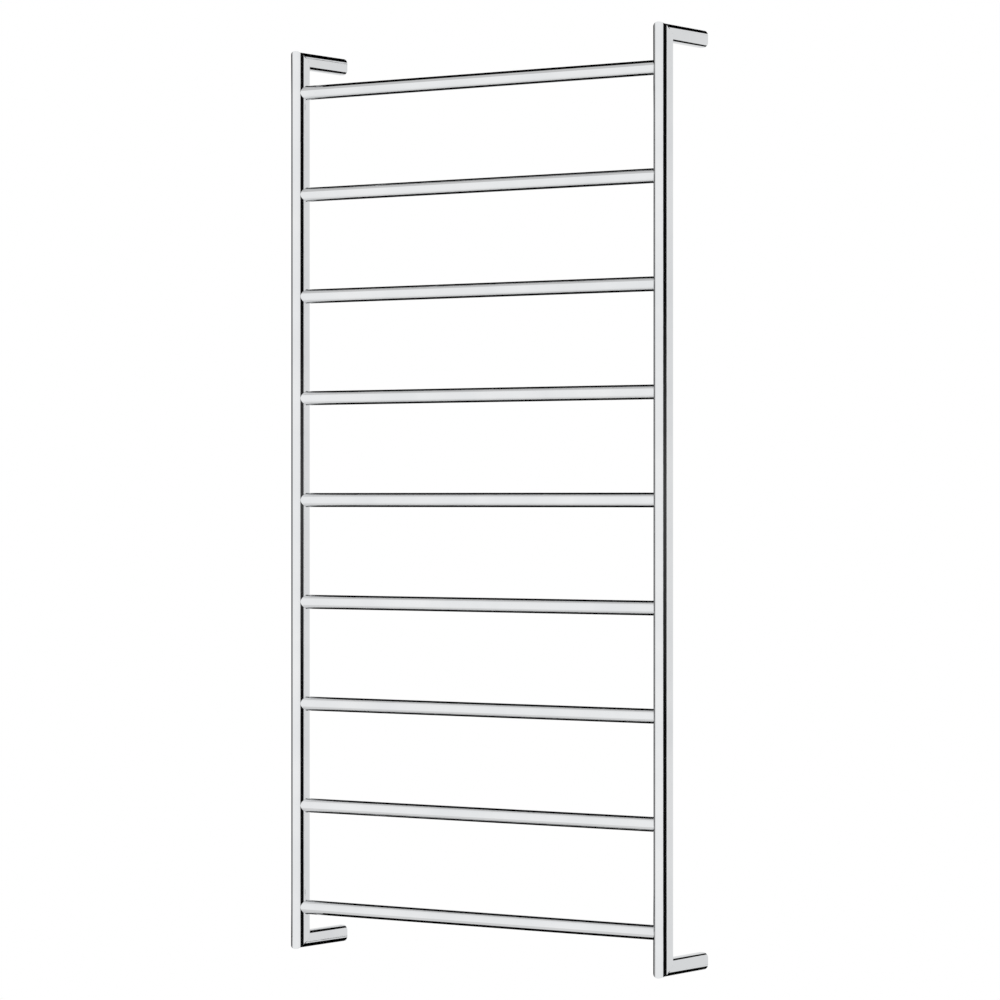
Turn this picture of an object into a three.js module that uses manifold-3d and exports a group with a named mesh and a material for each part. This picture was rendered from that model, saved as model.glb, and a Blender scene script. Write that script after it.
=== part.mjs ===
// Heated towel rack: a ladder of round bars between two round uprights, held off the wall by
// four arms that are mitred onto the ends of the uprights. A heating cable runs through every
// bar, and each arm slides over a bracket that is screwed to the wall.
//
// Frame, in millimetres: +X to the right, +Y into the wall, +Z up. The wall surface is y = 0,
// and the origin is the point on it midway between the four arms.
import * as THREE from "three";
import { mergeVertices } from "three/addons/utils/BufferGeometryUtils.js";
import Module from "manifold-3d";

const wasm = await Module();
wasm.setup();

// ---------------------------------------------------------------- driving dimensions

// The whole rack. The standoff runs from the wall to the plane of the bars' axes.
const HEIGHT = 1200;
const WIDTH = 600;
const STANDOFF = 93;

// Uprights and bars
const UPRIGHT_DIAMETER = 25;
const UPRIGHT_WALL = 2;
const BAR_DIAMETER = 19;
const BAR_WALL = 1.2;
const BAR_COUNT = 9;
const BAR_PITCH = 136;
const CABLE_HOLE_DIAMETER = 12;
const GAP = 0.3;

// Arms, of rounded rectangular tube, and the plates that close the mitres
const ARM_WIDTH = 18;
const ARM_HEIGHT = 22;
const ARM_CORNER_RADIUS = 7;
const ARM_WALL = 1.5;
const ARM_RIM_ROUNDING = 0.8;
const PLATE_THICKNESS = 1.5;
const PLATE_HOLE_DIAMETER = 9;

// Wall brackets, one inside the wall end of each arm
const BRACKET_LENGTH = 22;
const BRACKET_EDGE = 0.8;
const SCREW_HOLE_DIAMETER = 6;
const COUNTERSINK_DIAMETER = 11;
const DIMPLE_DIAMETER = 4.6;
const DIMPLE_DEPTH = 1.7;

// The arm that takes the supply cable has a half-height bracket below and a rubber bush above
const INLET_OFFSET = 4.7;
const INLET_SCREW_HOLE_DIAMETER = 4.5;
const INLET_COUNTERSINK_DIAMETER = 8;
const INLET_BORE_DIAMETER = 6.4;

// Grub screws, M4, under each arm
const GRUB_DIAMETER = 4;
const GRUB_LENGTH = 3;
const GRUB_EDGE = 0.4;
const GRUB_SOCKET_ACROSS_CORNERS = 2.3;
const GRUB_SOCKET_DEPTH = 1.5;
const GRUB_HOLE_DIAMETER = 4.6;
const GRUB_FROM_WALL = 11;
const GRUB_SUNK_BY = 0.2;

// Heating cable, its splice to the supply cable, and the seal on its far end
const CABLE_DIAMETER = 4;
const CABLE_BEND_RADIUS = 16;
const CABLE_STEPS_PER_BEND = 3;
const CABLE_SIDES = 8;
const SPLICE_DIAMETER = 10;
const SPLICE_LENGTH = 32;
const SPLICE_FROM_WALL = 30;
const SPLICE_SOCKET_DIAMETER = 6.6;
const SPLICE_SOCKET_DEPTH = 8;
const END_SEAL_DIAMETER = 7;
const END_SEAL_LENGTH = 22;
const END_SEAL_FROM_UPRIGHT = 25;

// Facets round a circle, and round one corner of a rounded rectangle
const UPRIGHT_FACETS = 32;
const BAR_FACETS = 24;
const SMALL_FACETS = 24;
const HOLE_FACETS = 16;
const CORNER_FACETS = 4;

// ---------------------------------------------------------------- worked out from them

const UPRIGHT_RADIUS = UPRIGHT_DIAMETER / 2;
const BAR_RADIUS = BAR_DIAMETER / 2;
const UPRIGHT_X = WIDTH / 2 - UPRIGHT_RADIUS;
const LADDER_Y = -STANDOFF;
const ARM_Z = HEIGHT / 2 - UPRIGHT_RADIUS;
const ARM_BORE_WIDTH = ARM_WIDTH - 2 * ARM_WALL;
const ARM_BORE_HEIGHT = ARM_HEIGHT - 2 * ARM_WALL;
const BRACKET_WIDTH = ARM_BORE_WIDTH - 2 * GAP;
const BRACKET_HEIGHT = ARM_BORE_HEIGHT - 2 * GAP;
const BRACKET_CORNER_RADIUS = ARM_CORNER_RADIUS - ARM_WALL - GAP;
const PLATE_HALF = PLATE_THICKNESS / 2;
const TOP_BAR_Z = (BAR_PITCH * (BAR_COUNT - 1)) / 2;
const CUTTER = 80;

const SIDES = [
  { name: "left", x: -UPRIGHT_X, sign: -1 },
  { name: "right", x: UPRIGHT_X, sign: 1 },
];
const LEVELS = [
  { name: "upper", z: ARM_Z, sign: 1 },
  { name: "lower", z: -ARM_Z, sign: -1 },
];

// ---------------------------------------------------------------- materials

function finish(color, roughness, metalness) {
  return new THREE.MeshStandardMaterial({ color, roughness, metalness });
}

const chrome = () => finish(0xdfe2e4, 0.05, 1);
const zincPlate = () => finish(0xa9adb0, 0.35, 1);
const stainless = () => finish(0x8d8f91, 0.3, 1);
const redSilicone = () => finish(0x9c2f25, 0.6, 0);
const blackRubber = () => finish(0x1a1a1b, 0.65, 0);

// ---------------------------------------------------------------- making and cutting solids

// A closed three.js geometry as a solid that can be joined and cut.
function solid(geometry) {
  const bare = geometry.clone();
  bare.deleteAttribute("normal");
  bare.deleteAttribute("uv");
  const merged = mergeVertices(bare, 1e-4);
  return new wasm.Manifold(
    new wasm.Mesh({
      numProp: 3,
      vertProperties: new Float32Array(merged.attributes.position.array),
      triVerts: new Uint32Array(merged.index.array),
    }),
  );
}

// A solid back as a three.js geometry.
function geometryOf(body) {
  const mesh = body.getMesh();
  const geometry = new THREE.BufferGeometry();
  geometry.setAttribute("position", new THREE.BufferAttribute(mesh.vertProperties, 3));
  geometry.setIndex(new THREE.BufferAttribute(mesh.triVerts, 1));
  geometry.computeVertexNormals();
  return geometry;
}

// A profile of [radius, height] points turned about the Y axis.
function turned(points, facets) {
  const profile = points.map(([radius, height]) => new THREE.Vector2(radius, height));
  return new THREE.LatheGeometry(profile, facets);
}

// A cylinder along the Y axis, centred on the origin.
function rod(diameter, length, facets) {
  return new THREE.CylinderGeometry(diameter / 2, diameter / 2, length, facets);
}

// A square-ended tube along the Y axis, centred on the origin.
function tube(radius, wall, length, facets) {
  const half = length / 2;
  const profile = [
    [radius - wall, -half],
    [radius, -half],
    [radius, half],
    [radius - wall, half],
    [radius - wall, -half],
  ];
  return turned(profile, facets);
}

// A bar of rounded rectangular section from the wall plane out to y = -length. The edges of
// its two ends are rounded off.
function stock(width, height, cornerRadius, length, edge) {
  const right = width / 2 - cornerRadius;
  const top = height / 2 - cornerRadius;
  const quarter = Math.PI / 2;
  const section = new THREE.Shape();
  section.absarc(right, top, cornerRadius, 0, quarter);
  section.absarc(-right, top, cornerRadius, quarter, 2 * quarter);
  section.absarc(-right, -top, cornerRadius, 2 * quarter, 3 * quarter);
  section.absarc(right, -top, cornerRadius, 3 * quarter, 4 * quarter);
  section.closePath();
  const geometry = new THREE.ExtrudeGeometry(section, {
    depth: length - 2 * edge,
    curveSegments: CORNER_FACETS,
    bevelEnabled: edge > 0,
    bevelThickness: edge,
    bevelSize: edge,
    bevelOffset: -edge,
    bevelSegments: 2,
  });
  return geometry.translate(0, 0, edge).rotateX(quarter);
}

// Everything past a plane: a block whose near face lies at an offset along the normal.
function beyond(point, normal, offset) {
  const along = new THREE.Vector3(...normal).normalize();
  const turn = new THREE.Quaternion().setFromUnitVectors(new THREE.Vector3(0, 0, 1), along);
  const centre = along.multiplyScalar(offset + CUTTER / 2).add(new THREE.Vector3(...point));
  const block = new THREE.BoxGeometry(CUTTER, CUTTER, CUTTER);
  return solid(block.applyQuaternion(turn).translate(centre.x, centre.y, centre.z));
}

function piece(name, geometry, material, x = 0, y = 0, z = 0) {
  const mesh = new THREE.Mesh(geometry, material);
  mesh.name = name;
  mesh.position.set(x, y, z);
  return mesh;
}

function barHeight(index) {
  return TOP_BAR_Z - index * BAR_PITCH;
}

// ---------------------------------------------------------------- chromed frame

// An upright stands on the Z axis. Both ends are mitred at 45 degrees, longer at the front,
// and a hole faces each bar so that the heating cable can pass.
function uprightGeometry(side) {
  const blank = tube(UPRIGHT_RADIUS, UPRIGHT_WALL, HEIGHT + 2, UPRIGHT_FACETS);
  let body = solid(blank.rotateX(Math.PI / 2));
  for (const level of LEVELS) {
    body = body.subtract(beyond([0, 0, level.z], [0, 1, level.sign], -PLATE_HALF - GAP));
  }
  for (let index = 0; index < BAR_COUNT; index += 1) {
    const drill = rod(CABLE_HOLE_DIAMETER, UPRIGHT_RADIUS, HOLE_FACETS).rotateZ(Math.PI / 2);
    drill.translate(-side.sign * UPRIGHT_RADIUS, 0, barHeight(index));
    body = body.subtract(solid(drill));
  }
  return geometryOf(body);
}

// A bar lies along the X axis, and each end is saddle-cut to the round of its upright.
function barGeometry() {
  const blank = tube(BAR_RADIUS, BAR_WALL, 2 * UPRIGHT_X, BAR_FACETS);
  let body = solid(blank.rotateZ(Math.PI / 2));
  for (const side of SIDES) {
    const saddle = rod(UPRIGHT_DIAMETER + 2 * GAP, CUTTER, UPRIGHT_FACETS);
    body = body.subtract(solid(saddle.rotateX(Math.PI / 2).translate(side.x, 0, 0)));
  }
  return geometryOf(body);
}

// An arm lies along the Y axis with its wall end at y = 0. The rim there is rounded off, the
// front end is mitred, and a hole underneath takes the grub screw.
function armGeometry(level) {
  const length = STANDOFF + UPRIGHT_DIAMETER;
  const outer = stock(ARM_WIDTH, ARM_HEIGHT, ARM_CORNER_RADIUS, length, ARM_RIM_ROUNDING);
  const boreRadius = ARM_CORNER_RADIUS - ARM_WALL;
  const bore = stock(ARM_BORE_WIDTH, ARM_BORE_HEIGHT, boreRadius, length + 2, 0);
  const drill = rod(GRUB_HOLE_DIAMETER, ARM_HEIGHT / 2, HOLE_FACETS).rotateX(Math.PI / 2);
  drill.translate(0, -GRUB_FROM_WALL, -ARM_HEIGHT / 2);
  const body = solid(outer)
    .subtract(solid(bore.translate(0, 1, 0)))
    .subtract(beyond([0, LADDER_Y, 0], [0, -1, -level.sign], -PLATE_HALF - GAP))
    .subtract(solid(drill));
  return geometryOf(body);
}

// A plate lies in the mitre plane and closes the step from the round upright to the smaller
// arm. Its hole, set towards the inside of the corner, lets the cable through.
function plateGeometry(level) {
  const upright = rod(UPRIGHT_DIAMETER, CUTTER, UPRIGHT_FACETS).rotateX(Math.PI / 2);
  const arm = rod(UPRIGHT_DIAMETER, CUTTER, UPRIGHT_FACETS);
  const inwards = CABLE_BEND_RADIUS * (1 - Math.SQRT1_2);
  const drill = rod(PLATE_HOLE_DIAMETER, UPRIGHT_RADIUS, SMALL_FACETS);
  drill.rotateX((level.sign * Math.PI) / 4).translate(0, inwards, -level.sign * inwards);
  const body = solid(upright)
    .intersect(solid(arm))
    .subtract(beyond([0, 0, 0], [0, 1, level.sign], PLATE_HALF))
    .subtract(beyond([0, 0, 0], [0, -1, -level.sign], PLATE_HALF))
    .subtract(solid(drill));
  return geometryOf(body);
}

// ---------------------------------------------------------------- wall fixings

// A countersunk screw hole along Y at a height above the arm's axis, as the tool that cuts it.
function screwHole(holeDiameter, countersinkDiameter, height) {
  const overrun = 1;
  const holeRadius = holeDiameter / 2;
  const headRadius = countersinkDiameter / 2;
  const profile = [
    [0, -BRACKET_LENGTH - overrun],
    [headRadius + overrun, -BRACKET_LENGTH - overrun],
    [holeRadius, -BRACKET_LENGTH + headRadius - holeRadius],
    [holeRadius, overrun],
    [0, overrun],
  ];
  return solid(turned(profile, SMALL_FACETS).translate(0, 0, height));
}

// The block that fills the mouth of an arm, square at the wall and rounded at its front edge.
function bracketBlank() {
  const length = BRACKET_LENGTH + 2 * BRACKET_EDGE;
  const block = stock(BRACKET_WIDTH, BRACKET_HEIGHT, BRACKET_CORNER_RADIUS, length, BRACKET_EDGE);
  const body = solid(block.translate(0, 2 * BRACKET_EDGE, 0));
  return body.subtract(beyond([0, 0, 0], [0, 1, 0], 0));
}

// The dimple under a bracket that the grub screw bites into.
function dimple() {
  const drill = rod(DIMPLE_DIAMETER, 2 * DIMPLE_DEPTH, HOLE_FACETS).rotateX(Math.PI / 2);
  return solid(drill.translate(0, -GRUB_FROM_WALL, -BRACKET_HEIGHT / 2));
}

function bracketGeometry() {
  const hole = screwHole(SCREW_HOLE_DIAMETER, COUNTERSINK_DIAMETER, 0);
  return geometryOf(bracketBlank().subtract(hole).subtract(dimple()));
}

// The lower half of a bracket, with its own smaller screw hole.
function inletBracketGeometry() {
  const hole = screwHole(INLET_SCREW_HOLE_DIAMETER, INLET_COUNTERSINK_DIAMETER, -INLET_OFFSET);
  const body = bracketBlank()
    .subtract(beyond([0, 0, 0], [0, 0, 1], -GAP / 2))
    .subtract(hole)
    .subtract(dimple());
  return geometryOf(body);
}

// The rubber bush above it, which the supply cable enters through.
function inletBushGeometry() {
  const bore = rod(INLET_BORE_DIAMETER, CUTTER, SMALL_FACETS).translate(0, 0, INLET_OFFSET);
  const body = bracketBlank()
    .subtract(beyond([0, 0, 0], [0, 0, -1], -GAP / 2))
    .subtract(solid(bore));
  return geometryOf(body);
}

// A grub screw along Z, socket end down, with its lowest point at the origin.
function grubScrewGeometry() {
  const radius = GRUB_DIAMETER / 2;
  const profile = [
    [0, 0],
    [radius - GRUB_EDGE, 0],
    [radius, GRUB_EDGE],
    [radius, GRUB_LENGTH - GRUB_EDGE],
    [radius - GRUB_EDGE, GRUB_LENGTH],
    [0, GRUB_LENGTH],
  ];
  const socket = rod(GRUB_SOCKET_ACROSS_CORNERS, 2 * GRUB_SOCKET_DEPTH, 6);
  const body = solid(turned(profile, HOLE_FACETS)).subtract(solid(socket));
  return geometryOf(body).rotateX(Math.PI / 2);
}

// ---------------------------------------------------------------- heating cable

// A route through given corners, each rounded to an arc, with one step along each straight.
class CableRoute extends THREE.Curve {
  constructor(corners, radius, stepsPerBend) {
    super();
    this.points = [corners[0]];
    for (let i = 1; i < corners.length - 1; i += 1) {
      const arriving = corners[i].clone().sub(corners[i - 1]).normalize();
      const leaving = corners[i + 1].clone().sub(corners[i]).normalize();
      const start = corners[i].clone().addScaledVector(arriving, -radius);
      const centre = start.clone().addScaledVector(leaving, radius);
      for (let step = 0; step <= stepsPerBend; step += 1) {
        const angle = (step / stepsPerBend) * (Math.PI / 2);
        const point = centre.clone().addScaledVector(leaving, -radius * Math.cos(angle));
        this.points.push(point.addScaledVector(arriving, radius * Math.sin(angle)));
      }
    }
    this.points.push(corners[corners.length - 1]);
  }

  getPoint(t) {
    const place = Math.min(Math.max(t, 0), 1) * (this.points.length - 1);
    const index = Math.min(Math.floor(place), this.points.length - 2);
    return this.points[index].clone().lerp(this.points[index + 1], place - index);
  }

  // Steps fall on the route's own points instead of at equal lengths.
  getUtoTmapping(u) {
    return u;
  }
}

// From the splice in the lower right arm, round the corner, then to and fro through every bar
// from the lowest to the highest. The last run stops at the end seal.
function cableCorners() {
  const start = -SPLICE_FROM_WALL - SPLICE_LENGTH - GAP;
  const corners = [
    new THREE.Vector3(UPRIGHT_X, start, -ARM_Z),
    new THREE.Vector3(UPRIGHT_X, LADDER_Y, -ARM_Z),
  ];
  let x = UPRIGHT_X;
  for (let index = BAR_COUNT - 1; index >= 0; index -= 1) {
    corners.push(new THREE.Vector3(x, LADDER_Y, barHeight(index)));
    x = -x;
    corners.push(new THREE.Vector3(x, LADDER_Y, barHeight(index)));
  }
  corners[corners.length - 1].x = END_SEAL_FROM_UPRIGHT + END_SEAL_LENGTH + GAP - UPRIGHT_X;
  return corners;
}

function heatingCableGeometry() {
  const route = new CableRoute(cableCorners(), CABLE_BEND_RADIUS, CABLE_STEPS_PER_BEND);
  const outline = [];
  for (let side = 0; side < CABLE_SIDES; side += 1) {
    const angle = (side / CABLE_SIDES) * 2 * Math.PI;
    const radius = CABLE_DIAMETER / 2;
    outline.push(new THREE.Vector2(radius * Math.cos(angle), radius * Math.sin(angle)));
  }
  return new THREE.ExtrudeGeometry(new THREE.Shape(outline), {
    steps: route.points.length - 1,
    extrudePath: route,
  });
}

// The sleeve that joins the heating cable to the supply cable, along Y, with an open socket
// at its wall end for the supply cable.
function spliceGeometry() {
  const radius = SPLICE_DIAMETER / 2;
  const taper = 3;
  const socketRadius = SPLICE_SOCKET_DIAMETER / 2;
  const profile = [
    [0, 0],
    [radius - 2, 0],
    [radius, taper],
    [radius, SPLICE_LENGTH - taper],
    [radius - 1, SPLICE_LENGTH],
    [socketRadius, SPLICE_LENGTH],
    [socketRadius, SPLICE_LENGTH - SPLICE_SOCKET_DEPTH],
    [0, SPLICE_LENGTH - SPLICE_SOCKET_DEPTH],
  ];
  return turned(profile, SMALL_FACETS);
}

// The seal on the far end of the heating cable, along X.
function endSealGeometry() {
  const radius = END_SEAL_DIAMETER / 2;
  const taper = 2;
  const profile = [
    [0, 0],
    [radius - 1, 0],
    [radius, taper],
    [radius, END_SEAL_LENGTH - taper],
    [radius - 1, END_SEAL_LENGTH],
    [0, END_SEAL_LENGTH],
  ];
  return turned(profile, HOLE_FACETS).rotateZ(-Math.PI / 2);
}

// ---------------------------------------------------------------- assembly

const rack = new THREE.Group();

for (const side of SIDES) {
  rack.add(piece(`upright_${side.name}`, uprightGeometry(side), chrome(), side.x, LADDER_Y, 0));
}

for (let index = 0; index < BAR_COUNT; index += 1) {
  rack.add(piece(`bar_${index + 1}`, barGeometry(), chrome(), 0, LADDER_Y, barHeight(index)));
}

for (const level of LEVELS) {
  for (const side of SIDES) {
    const place = `${level.name}_${side.name}`;
    const corner = new THREE.Group();
    corner.position.set(side.x, 0, level.z);
    corner.add(piece(`arm_${place}`, armGeometry(level), chrome()));
    corner.add(piece(`mitre_plate_${place}`, plateGeometry(level), chrome(), 0, LADDER_Y, 0));
    const isInlet = place === "lower_right";
    const bracket = isInlet ? inletBracketGeometry() : bracketGeometry();
    corner.add(piece(`wall_bracket_${place}`, bracket, zincPlate()));
    const grubZ = GRUB_SUNK_BY - ARM_HEIGHT / 2;
    const grub = grubScrewGeometry();
    corner.add(piece(`grub_screw_${place}`, grub, stainless(), 0, -GRUB_FROM_WALL, grubZ));
    if (isInlet) {
      const spliceFront = -SPLICE_FROM_WALL - SPLICE_LENGTH;
      corner.add(piece("inlet_bush", inletBushGeometry(), blackRubber()));
      corner.add(piece("cable_splice", spliceGeometry(), blackRubber(), 0, spliceFront, 0));
    }
    rack.add(corner);
  }
}

rack.add(piece("heating_cable", heatingCableGeometry(), redSilicone()));

const sealX = END_SEAL_FROM_UPRIGHT - UPRIGHT_X;
rack.add(piece("end_seal", endSealGeometry(), blackRubber(), sealX, LADDER_Y, TOP_BAR_Z));

export default rack;
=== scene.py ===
import math

import bmesh
import bpy
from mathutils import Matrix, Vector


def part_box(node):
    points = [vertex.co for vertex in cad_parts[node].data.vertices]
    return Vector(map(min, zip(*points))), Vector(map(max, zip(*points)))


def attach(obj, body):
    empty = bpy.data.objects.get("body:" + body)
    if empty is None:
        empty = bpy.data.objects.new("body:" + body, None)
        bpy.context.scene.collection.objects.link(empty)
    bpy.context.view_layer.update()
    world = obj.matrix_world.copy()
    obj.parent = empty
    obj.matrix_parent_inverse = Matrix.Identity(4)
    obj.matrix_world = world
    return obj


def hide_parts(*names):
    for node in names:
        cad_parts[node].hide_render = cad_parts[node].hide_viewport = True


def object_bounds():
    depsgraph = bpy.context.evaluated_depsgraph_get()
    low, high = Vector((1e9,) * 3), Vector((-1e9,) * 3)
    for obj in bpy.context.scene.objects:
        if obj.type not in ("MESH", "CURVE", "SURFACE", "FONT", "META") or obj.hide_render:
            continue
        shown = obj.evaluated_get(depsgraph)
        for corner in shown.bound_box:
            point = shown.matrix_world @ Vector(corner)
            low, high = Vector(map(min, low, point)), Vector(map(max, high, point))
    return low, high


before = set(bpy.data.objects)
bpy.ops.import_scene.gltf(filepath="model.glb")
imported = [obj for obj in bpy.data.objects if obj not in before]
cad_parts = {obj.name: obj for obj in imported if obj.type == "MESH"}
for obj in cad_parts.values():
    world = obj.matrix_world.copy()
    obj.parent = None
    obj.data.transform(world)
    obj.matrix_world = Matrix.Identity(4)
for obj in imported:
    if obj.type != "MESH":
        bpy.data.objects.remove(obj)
cad_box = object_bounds()

# ---------------------------------------------------------------- sizes, in metres

UPRIGHT_RADIUS = (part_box("upright_left")[1].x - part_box("upright_left")[0].x) / 2
BAR_RADIUS = (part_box("bar_1")[1].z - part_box("bar_1")[0].z) / 2
ARM_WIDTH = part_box("arm_upper_left")[1].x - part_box("arm_upper_left")[0].x
ARM_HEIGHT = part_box("arm_upper_left")[1].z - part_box("arm_upper_left")[0].z
LADDER_Y = cad_box[0].y + UPRIGHT_RADIUS
ARM_Z = cad_box[1].z - UPRIGHT_RADIUS
UPRIGHT_X = cad_box[1].x - UPRIGHT_RADIUS
UPRIGHT_WALL = 0.002
BAR_WALL = 0.0012
ARM_WALL = 0.0015
ARM_CORNER = 0.007
PLATE_HALF = 0.00075
PLATE_EDGE = 0.0004
RIM = 0.0008            # rounding of an arm's mouth, outside
MOUTH_EDGE = 0.0002     # bevel of an arm's mouth, inside
ARM_WELD = 0.0009
BAR_WELD = 0.0003
SINK = 0.0002           # how far a weld bead starts inside what it meets
SUPPORT = 0.0003        # from a bead or rim to the ring that keeps it off the tube's shading
UPRIGHT_MARGIN = 0.004  # from a mitre's short side to the nearest straight ring
BANDS = 12
WELD_STEPS = 5
RIM_STEPS = 6
SEGMENTS = 128
CORNER_SEGMENTS = 16
CREASE = math.radians(38)

SIDES = {"left": -1, "right": 1}
LEVELS = {"upper": 1, "lower": -1}


# ---------------------------------------------------------------- node helpers

def shader(name):
    """A new material, its node tree and its Principled shader."""
    material = bpy.data.materials.new(name)
    material.use_nodes = True
    tree = material.node_tree
    return material, tree, tree.nodes["Principled BSDF"]


def noise(tree, scale, detail=3.0, stretch=(1, 1, 1), rough=0.5):
    """The value of a noise texture over the row frame, finer along the axes with more stretch."""
    place = tree.nodes.new("ShaderNodeTexCoord")
    mapping = tree.nodes.new("ShaderNodeMapping")
    mapping.inputs["Scale"].default_value = stretch
    texture = tree.nodes.new("ShaderNodeTexNoise")
    texture.inputs["Scale"].default_value = scale
    texture.inputs["Detail"].default_value = detail
    texture.inputs["Roughness"].default_value = rough
    tree.links.new(place.outputs["Object"], mapping.inputs["Vector"])
    tree.links.new(mapping.outputs["Vector"], texture.inputs["Vector"])
    return texture.outputs["Fac"]


def spread(tree, value, low, high, start=0.3, end=0.7):
    """value mapped from start..end to low..high."""
    node = tree.nodes.new("ShaderNodeMapRange")
    node.inputs["From Min"].default_value = start
    node.inputs["From Max"].default_value = end
    node.inputs["To Min"].default_value = low
    node.inputs["To Max"].default_value = high
    tree.links.new(value, node.inputs["Value"])
    return node.outputs["Result"]


def tint(tree, value, low, high, start=0.35, end=0.65):
    """A colour between low and high, by value."""
    ramp = tree.nodes.new("ShaderNodeValToRGB")
    ramp.color_ramp.elements[0].position = start
    ramp.color_ramp.elements[0].color = (*low, 1)
    ramp.color_ramp.elements[1].position = end
    ramp.color_ramp.elements[1].color = (*high, 1)
    tree.links.new(value, ramp.inputs["Fac"])
    return ramp.outputs["Color"]


def bump(tree, principled, height, strength, distance):
    """Relief on that shader's surface, by height."""
    node = tree.nodes.new("ShaderNodeBump")
    node.inputs["Strength"].default_value = strength
    node.inputs["Distance"].default_value = distance
    tree.links.new(height, node.inputs["Height"])
    tree.links.new(node.outputs["Normal"], principled.inputs["Normal"])


# ---------------------------------------------------------------- materials

def chrome(name, grain):
    """Polished chrome plate: faint smears, and hairline polishing marks along the tube."""
    material, tree, principled = shader(name)
    principled.inputs["Metallic"].default_value = 1.0
    smears = noise(tree, 9, 4, rough=0.6)
    hairs = noise(tree, 60, 2, stretch=grain)
    tree.links.new(tint(tree, smears, (0.80, 0.81, 0.82), (0.86, 0.865, 0.87)),
                   principled.inputs["Base Color"])
    roughness = tree.nodes.new("ShaderNodeMath")
    roughness.operation = "ADD"
    tree.links.new(spread(tree, smears, 0.02, 0.05), roughness.inputs[0])
    tree.links.new(spread(tree, hairs, 0.0, 0.025), roughness.inputs[1])
    tree.links.new(roughness.outputs["Value"], principled.inputs["Roughness"])
    bump(tree, principled, hairs, 0.03, 0.0001)
    return material


def plated_steel(name, low, high, rough_low, rough_high):
    """Dull plated steel with a crystalline mottle and turning marks."""
    material, tree, principled = shader(name)
    principled.inputs["Metallic"].default_value = 1.0
    mottle = noise(tree, 900, 5, rough=0.7)
    marks = noise(tree, 500, 2, stretch=(1, 8, 1))
    tree.links.new(tint(tree, mottle, low, high), principled.inputs["Base Color"])
    tree.links.new(spread(tree, mottle, rough_low, rough_high), principled.inputs["Roughness"])
    bump(tree, principled, marks, 0.25, 0.0001)
    return material


def moulded(name, low, high, rough_low, rough_high, grain_scale):
    """Moulded rubber or silicone with a fine even grain and a little bloom."""
    material, tree, principled = shader(name)
    bloom = noise(tree, 120, 4, rough=0.6)
    grain = noise(tree, grain_scale, 3)
    tree.links.new(tint(tree, bloom, low, high), principled.inputs["Base Color"])
    tree.links.new(spread(tree, bloom, rough_low, rough_high), principled.inputs["Roughness"])
    bump(tree, principled, grain, 0.3, 0.0001)
    return material


chrome_upright = chrome("chrome_upright", (40, 40, 1))
chrome_bar = chrome("chrome_bar", (1, 40, 40))
chrome_arm = chrome("chrome_arm", (40, 1, 40))
zinc = plated_steel("zinc_plate", (0.50, 0.51, 0.53), (0.66, 0.67, 0.68), 0.28, 0.45)
steel = plated_steel("screw_steel", (0.42, 0.43, 0.44), (0.56, 0.56, 0.57), 0.22, 0.36)
bush_rubber = moulded("bush_rubber", (0.016, 0.016, 0.017), (0.035, 0.035, 0.036), 0.6, 0.8, 2500)
splice_rubber = moulded("splice_rubber", (0.026, 0.026, 0.028), (0.05, 0.05, 0.052), 0.45, 0.6,
                        1800)
silicone = moulded("cable_silicone", (0.28, 0.03, 0.022), (0.38, 0.05, 0.035), 0.45, 0.65, 2200)


# ---------------------------------------------------------------- mesh helpers

def loft(name, rings, material, slot, *replaced, closed=True):
    """A skin through rings of equally many points. Closed, its last ring joins its first, as
    inside and outside of a tube do; otherwise each end is capped."""
    mesh = bmesh.new()
    made = [[mesh.verts.new(point) for point in ring] for ring in rings]
    pairs = list(zip(made, made[1:]))
    if closed:
        pairs.append((made[-1], made[0]))
    for first, second in pairs:
        count = len(first)
        for i in range(count):
            j = (i + 1) % count
            mesh.faces.new((first[i], first[j], second[j], second[i]))
    if not closed:
        mesh.faces.new(list(reversed(made[0])))
        mesh.faces.new(made[-1])
    bmesh.ops.recalc_face_normals(mesh, faces=mesh.faces)
    for face in mesh.faces:
        face.smooth = True
    data = bpy.data.meshes.new(name)
    mesh.to_mesh(data)
    mesh.free()
    data.set_sharp_from_angle(angle=CREASE)
    data.materials.append(material)
    piece = bpy.data.objects.new(name, data)
    bpy.context.scene.collection.objects.link(piece)
    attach(piece, "root")
    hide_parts(*replaced)
    return piece


def turns():
    """The angles of the points round a tube."""
    return [2 * math.pi * i / SEGMENTS for i in range(SEGMENTS)]


def rounded_rectangle(width, height, corner):
    """Points round a rounded rectangle in X and Z, in order."""
    points = []
    right, top = width / 2 - corner, height / 2 - corner
    centres = ((right, top), (-right, top), (-right, -top), (right, -top))
    for quarter, (x, z) in enumerate(centres):
        for step in range(CORNER_SEGMENTS + 1):
            angle = (quarter + step / CORNER_SEGMENTS) * math.pi / 2
            points.append((x + corner * math.cos(angle), z + corner * math.sin(angle)))
    return points


# ---------------------------------------------------------------- chromed frame

def mitre_ring(x, level, radius, offset):
    """Where an upright of that radius meets a plane parallel to the mitre, moved past it by
    offset towards the arm."""
    ring = []
    for angle in turns():
        y = radius * math.sin(angle)
        z = level * (ARM_Z - y + offset * math.sqrt(2))
        ring.append((x + radius * math.cos(angle), LADDER_Y + y, z))
    return ring


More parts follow.
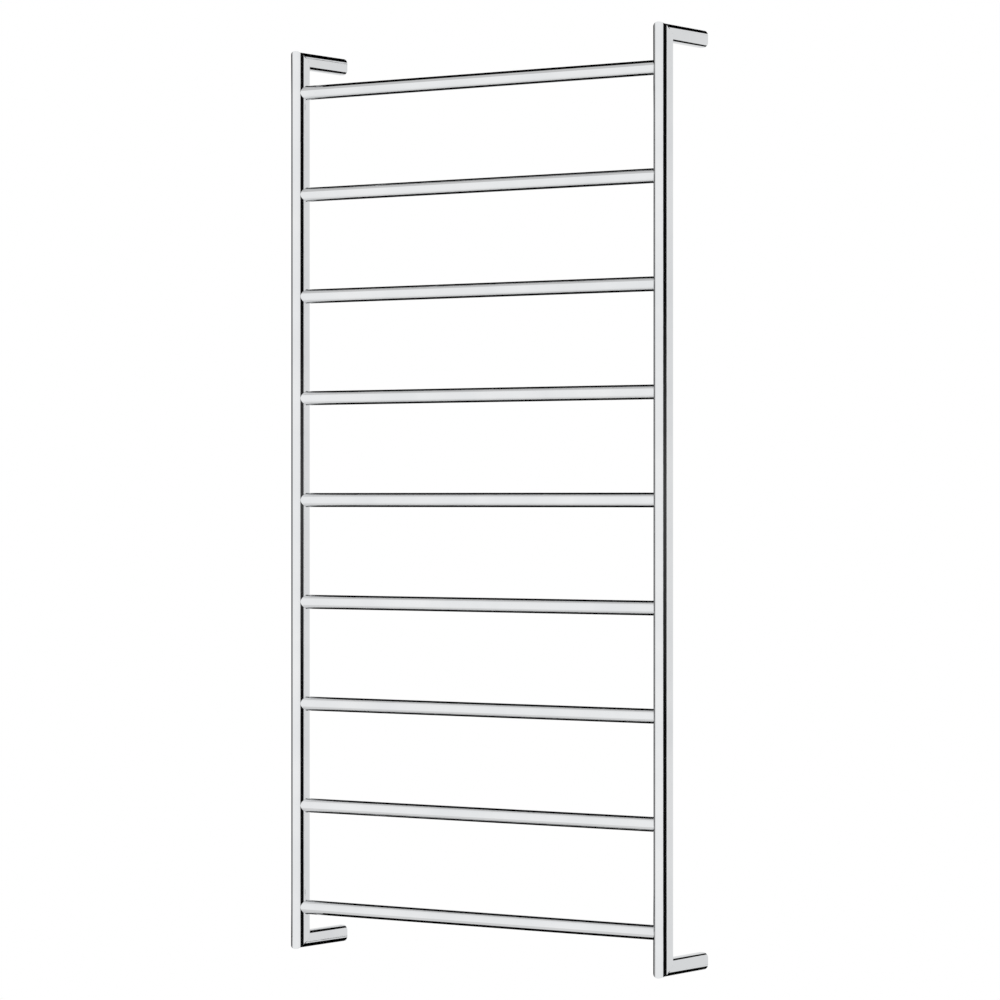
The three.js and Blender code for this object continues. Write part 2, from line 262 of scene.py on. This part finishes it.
def upright(side, sign):
    """A hollow upright, mitred at both ends."""
    x = sign * UPRIGHT_X
    inside = UPRIGHT_RADIUS - UPRIGHT_WALL
    rings = [mitre_ring(x, -1, UPRIGHT_RADIUS, -PLATE_HALF)]
    for band in range(1, BANDS):
        z = (2 * band / BANDS - 1) * (ARM_Z - UPRIGHT_RADIUS - UPRIGHT_MARGIN)
        rings.append([(x + UPRIGHT_RADIUS * math.cos(a), LADDER_Y + UPRIGHT_RADIUS * math.sin(a), z)
                      for a in turns()])
    rings.append(mitre_ring(x, 1, UPRIGHT_RADIUS, -PLATE_HALF))
    rings.append(mitre_ring(x, 1, inside, -PLATE_HALF))
    rings.append(mitre_ring(x, -1, inside, -PLATE_HALF))
    loft(f"upright_{side}_tube", rings, chrome_upright, "chrome", f"upright_{side}")


def mitre_plate(side, sign, level_name, level):
    """The plate across a mitre, flush with the upright, its edge over the arm rounded off."""
    x = sign * UPRIGHT_X
    rings = [mitre_ring(x, level, UPRIGHT_RADIUS, -PLATE_HALF)]
    for radius, offset in ((UPRIGHT_RADIUS, 0.0), (UPRIGHT_RADIUS, PLATE_HALF - PLATE_EDGE),
                           (UPRIGHT_RADIUS - 0.12 * PLATE_EDGE, PLATE_HALF - 0.5 * PLATE_EDGE),
                           (UPRIGHT_RADIUS - 0.5 * PLATE_EDGE, PLATE_HALF - 0.12 * PLATE_EDGE),
                           (UPRIGHT_RADIUS - PLATE_EDGE, PLATE_HALF)):
        ring = []
        for angle in turns():
            out = radius * math.sin(angle)
            ring.append((x + radius * math.cos(angle), LADDER_Y + out + offset * math.sqrt(2),
                         level * (ARM_Z - out)))
        rings.append(ring)
    place = f"{level_name}_{side}"
    loft(f"mitre_plate_{place}_disc", rings, chrome_arm, "chrome", f"mitre_plate_{place}",
         closed=False)


def arm(side, sign, level_name, level):
    """A hollow arm with a weld bead at the mitre plate and a rounded rim at the wall."""
    x0, z0 = sign * UPRIGHT_X, level * ARM_Z
    rings = []

    def add(swell, wall_y=None, offset=0.0):
        """A ring of the arm's outline grown by swell: square to the arm at wall_y, or along the
        mitre, moved past it by offset."""
        corner = ARM_CORNER + swell
        section = rounded_rectangle(ARM_WIDTH + 2 * swell, ARM_HEIGHT + 2 * swell, corner)
        ring = []
        for x, z in section:
            y = wall_y
            if y is None:
                y = LADDER_Y - level * z + offset * math.sqrt(2)
            ring.append((x0 + x, y, z0 + z))
        rings.append(ring)

    add(ARM_WELD, offset=PLATE_HALF - SINK)
    for step in range(WELD_STEPS + 1):
        turn = (1 - step / WELD_STEPS) * math.pi / 2
        add(ARM_WELD * (1 - math.cos(turn)), offset=PLATE_HALF + ARM_WELD * (1 - math.sin(turn)))
    add(0.0, offset=PLATE_HALF + ARM_WELD + SUPPORT)
    add(0.0, wall_y=-0.06)
    add(0.0, wall_y=-0.02)
    add(0.0, wall_y=-RIM - SUPPORT)
    for step in range(RIM_STEPS + 1):
        turn = step / RIM_STEPS * math.pi / 2
        add(-RIM * (1 - math.cos(turn)), wall_y=-RIM * (1 - math.sin(turn)))
    add(-ARM_WALL + MOUTH_EDGE, wall_y=0.0)
    add(-ARM_WALL, wall_y=-MOUTH_EDGE)
    add(-ARM_WALL, wall_y=-0.06)
    add(-ARM_WALL, offset=PLATE_HALF - SINK)
    place = f"{level_name}_{side}"
    loft(f"arm_{place}_tube", rings, chrome_arm, "chrome", f"arm_{place}")


def bar(number):
    """A hollow bar whose ends follow the round of the uprights, with a weld bead at each."""
    low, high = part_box(f"bar_{number}")
    height = (low.z + high.z) / 2
    rings = []

    def saddle(radius, stand, end):
        """A ring that stays that distance off the upright's surface, at the left or right end."""
        ring = []
        for angle in turns():
            y, z = radius * math.sin(angle), radius * math.cos(angle)
            x = UPRIGHT_X - math.sqrt(UPRIGHT_RADIUS ** 2 - y * y) - stand
            ring.append((end * x, LADDER_Y + y, height + z))
        rings.append(ring)

    def bead(end, steps):
        for step in steps:
            turn = step / WELD_STEPS * math.pi / 2
            saddle(BAR_RADIUS + BAR_WELD * (1 - math.cos(turn)), BAR_WELD * (1 - math.sin(turn)),
                   end)

    saddle(BAR_RADIUS + BAR_WELD, -SINK, -1)
    bead(-1, range(WELD_STEPS, -1, -1))
    saddle(BAR_RADIUS, BAR_WELD + SUPPORT, -1)
    for band in range(1, BANDS):
        x = (2 * band / BANDS - 1) * (UPRIGHT_X - 2 * UPRIGHT_RADIUS)
        rings.append([(x, LADDER_Y + BAR_RADIUS * math.sin(a), height + BAR_RADIUS * math.cos(a))
                      for a in turns()])
    saddle(BAR_RADIUS, BAR_WELD + SUPPORT, 1)
    bead(1, range(WELD_STEPS + 1))
    saddle(BAR_RADIUS + BAR_WELD, -SINK, 1)
    saddle(BAR_RADIUS - BAR_WALL, -SINK, 1)
    saddle(BAR_RADIUS - BAR_WALL, -SINK, -1)
    loft(f"bar_{number}_tube", rings, chrome_bar, "chrome", f"bar_{number}")


for side, sign in SIDES.items():
    upright(side, sign)
    for level_name, level in LEVELS.items():
        mitre_plate(side, sign, level_name, level)
        arm(side, sign, level_name, level)
for number in range(1, 10):
    bar(number)

# ---------------------------------------------------------------- carried-over CAD nodes

CARRIED = {"wall_bracket": zinc, "grub_screw": steel, "inlet_bush": bush_rubber,
           "cable_splice": splice_rubber, "end_seal": splice_rubber, "heating_cable": silicone}
for node_name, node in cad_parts.items():
    for start, material in CARRIED.items():
        if node_name.startswith(start):
            node.data.materials.clear()
            node.data.materials.append(material)

# ---------------------------------------------------------------- studio

# The chrome's dark lines are reflections of panels ("flags") that the camera doesn't see.

def plane(name, corners, material):
    """A flat stage object with those corners."""
    data = bpy.data.meshes.new(name)
    data.from_pydata(corners, [], [tuple(range(len(corners)))])
    data.materials.append(material)
    flag = bpy.data.objects.new(name, data)
    bpy.context.scene.collection.objects.link(flag)
    return flag


def glow(name, strength):
    """A white glow of that strength."""
    material = bpy.data.materials.new(name)
    material.use_nodes = True
    tree = material.node_tree
    tree.nodes.clear()
    emission = tree.nodes.new("ShaderNodeEmission")
    emission.inputs["Color"].default_value = (1, 1, 1, 1)
    emission.inputs["Strength"].default_value = strength
    output = tree.nodes.new("ShaderNodeOutputMaterial")
    tree.links.new(emission.outputs["Emission"], output.inputs["Surface"])
    return material


def reflected_only(flag):
    """Show the flag in reflections and nowhere else."""
    flag.visible_camera = False
    flag.visible_diffuse = False
    flag.visible_shadow = False
    flag.visible_transmission = False


# Outlines in X and Y of the flags a metre above and below the middle of the rack. Their edges
# set where each dark line on the bars and arms starts and stops.
FLAG_Z = 1.0
BLACK_FLAGS = {
    "near": ((-4.0, -0.18), (2.0, -0.18), (2.0, 0.85), (-4.0, 0.85)),
    "left": ((-4.0, 0.85), (-1.5, 0.85), (-1.5, 2.7), (-4.0, 2.7)),
    "behind": ((-1.5, 0.85), (-0.39, 0.85), (-0.2, 1.9), (-0.2, 2.1), (-1.5, 2.1)),
    "far": ((-0.2, 1.9), (1.5, 1.9), (1.5, 2.7), (-0.2, 2.7)),
}
GREY_FLAG = ((-4.0, -0.7), (2.0, -0.7), (2.0, -0.18), (-4.0, -0.18))
GREY_STRENGTH = {"upper": 0.62, "lower": 0.74}

black = glow("black_flag", 0.0)
for level_name, level in LEVELS.items():
    z = level * FLAG_Z
    for part, corners in BLACK_FLAGS.items():
        reflected_only(plane(f"flag_{level_name}_{part}", [(x, y, z) for x, y in corners], black))
    grey = glow(f"{level_name}_front_flag", GREY_STRENGTH[level_name])
    reflected_only(plane(f"flag_{level_name}_front", [(x, y, z) for x, y in GREY_FLAG], grey))
# An upright flag beside the camera gives the uprights their dark line. It is a little less dark
# at mid height.
FLAG_RACK_END = (1.43, -0.44)
FLAG_CAMERA_END = (2.95, -4.33)
FLAG_HALF_HEIGHT = 2.5
beside = plane("flag_beside_camera",
               [(*FLAG_RACK_END, -FLAG_HALF_HEIGHT), (*FLAG_CAMERA_END, -FLAG_HALF_HEIGHT),
                (*FLAG_CAMERA_END, FLAG_HALF_HEIGHT), (*FLAG_RACK_END, FLAG_HALF_HEIGHT)],
               glow("beside_flag", 0.0))
reflected_only(beside)
tree = beside.data.materials[0].node_tree
place = tree.nodes.new("ShaderNodeTexCoord")
parts = tree.nodes.new("ShaderNodeSeparateXYZ")
height = tree.nodes.new("ShaderNodeMath")
height.operation = "ABSOLUTE"
tree.links.new(place.outputs["Object"], parts.inputs[0])
tree.links.new(parts.outputs["Z"], height.inputs[0])
tree.links.new(spread(tree, height.outputs["Value"], 0.06, 0.004, 0.0, 0.35),
               tree.nodes["Emission"].inputs["Strength"])

FLOOR_Z = -0.75
FLOOR_REACH = 8
floor = plane("floor",
              [(-FLOOR_REACH, -FLOOR_REACH, FLOOR_Z), (FLOOR_REACH, -FLOOR_REACH, FLOOR_Z),
               (FLOOR_REACH, FLOOR_REACH, FLOOR_Z), (-FLOOR_REACH, FLOOR_REACH, FLOOR_Z)],
              glow("pale_floor", 1.0))
floor.visible_glossy = False
floor.visible_diffuse = False
floor.visible_shadow = False

# The world is white to the camera. As light and in reflections it is dimmer, brightest at the
# front left, and has a dark patch at the left.
TO_FRONT_LEFT = (-0.4255, -0.905, 0.0)
TO_LEFT = (-0.994, 0.108, 0.0)

world = bpy.data.worlds.new("soft_studio")
world.use_nodes = True
bpy.context.scene.world = world
tree = world.node_tree
tree.nodes.clear()
place = tree.nodes.new("ShaderNodeTexCoord")


def towards(direction, start, end, low, high):
    """A value that goes from low to high as the light's direction nears the given one."""
    product = tree.nodes.new("ShaderNodeVectorMath")
    product.operation = "DOT_PRODUCT"
    product.inputs[1].default_value = direction
    tree.links.new(place.outputs["Generated"], product.inputs[0])
    return spread(tree, product.outputs["Value"], low, high, start, end)


strength = tree.nodes.new("ShaderNodeMath")
strength.operation = "MULTIPLY"
tree.links.new(towards(TO_FRONT_LEFT, 0.0, 0.9, 0.82, 0.97), strength.inputs[0])
tree.links.new(towards(TO_LEFT, 0.90, 0.955, 1.0, 0.18), strength.inputs[1])
soft = tree.nodes.new("ShaderNodeBackground")
soft.inputs["Color"].default_value = (0.99, 0.995, 1.0, 1)
seen = tree.nodes.new("ShaderNodeBackground")
seen.inputs["Color"].default_value = (1, 1, 1, 1)
rays = tree.nodes.new("ShaderNodeLightPath")
mix = tree.nodes.new("ShaderNodeMixShader")
output = tree.nodes.new("ShaderNodeOutputWorld")
tree.links.new(strength.outputs["Value"], soft.inputs["Strength"])
tree.links.new(rays.outputs["Is Camera Ray"], mix.inputs["Fac"])
tree.links.new(soft.outputs["Background"], mix.inputs[1])
tree.links.new(seen.outputs["Background"], mix.inputs[2])
tree.links.new(mix.outputs["Shader"], output.inputs["Surface"])

bpy.context.scene.view_settings.view_transform = "Standard"

# ---------------------------------------------------------------- camera

CAMERA_PLACE = (2.9662, -4.3069, 0.0)
CAMERA_AZIMUTH = math.radians(34.796)
LENS = 142.98

camera_data = bpy.data.cameras.new("camera")
camera_data.sensor_width = 36
camera_data.lens = LENS
camera_data.clip_end = 100
camera = bpy.data.objects.new("camera", camera_data)
camera.location = CAMERA_PLACE
camera.rotation_euler = (math.radians(90), 0, CAMERA_AZIMUTH)
bpy.context.scene.collection.objects.link(camera)
bpy.context.scene.camera = camera

bpy.context.view_layer.update()
